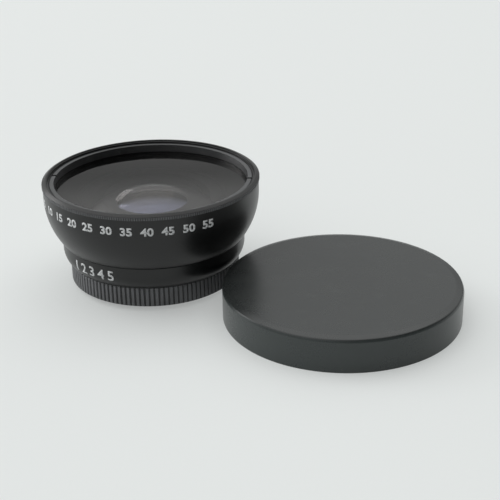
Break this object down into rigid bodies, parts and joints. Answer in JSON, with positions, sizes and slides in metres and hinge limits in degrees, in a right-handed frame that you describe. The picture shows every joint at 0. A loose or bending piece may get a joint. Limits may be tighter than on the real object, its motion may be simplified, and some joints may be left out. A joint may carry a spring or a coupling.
{
  "type": "wide-angle conversion lens",
  "caption": "Round black screw-on conversion lens with a flared bowl, domed front glass, knurled macro ring and rear thread, its slip-on cap lying beside it.",
  "frame": {"origin": "centre of the rear thread at its free end, which is the plane the lens stands on", "axes": "+Z along the lens axis, from the rear thread to the front glass; +X to the right as the picture shows it"},
  "size_m": [0.141, 0.1102, 0.0379],
  "materials": {
    "anodised_black": "satin black anodised",
    "ring_black": "satin black anodised, turned",
    "coated_glass": "polished, coated",
    "cap_plastic": "matte, finely grained"
  },
  "bodies": {
    "macro_section": {"macro_barrel": "anodised_black", "macro_lens": "coated_glass", "macro_lens_ring": "ring_black"},
    "wide_glass": {"inner_lens": "coated_glass", "front_lens": "coated_glass"},
    "wide_section": {"wide_barrel": "anodised_black", "inner_lens_ring": "ring_black", "front_lens_ring": "ring_black"},
    "cap": {"front_cap": "cap_plastic"}
  },
  "joints": [
    {"name": "wide_lift", "type": "slide", "parent": "macro_section", "child": "wide_glass", "axis": [0, 0, 1], "range_m": [0, 0.00263]},
    {"name": "wide_turn", "type": "hinge", "parent": "wide_glass", "child": "wide_section", "pos_m": [0, 0, 0], "axis": [0, 0, 1], "range_deg": [0, 1260]},
    {"name": "cap_slide", "type": "slide", "parent": "macro_section", "child": "cap", "axis": [0.8878, -0.4602, 0], "range_m": [0, 0.05]}
  ],
  "couplings": [
    {"joint": "wide_lift", "follows": "wide_turn", "m_per_rad": 0.00011937}
  ]
}
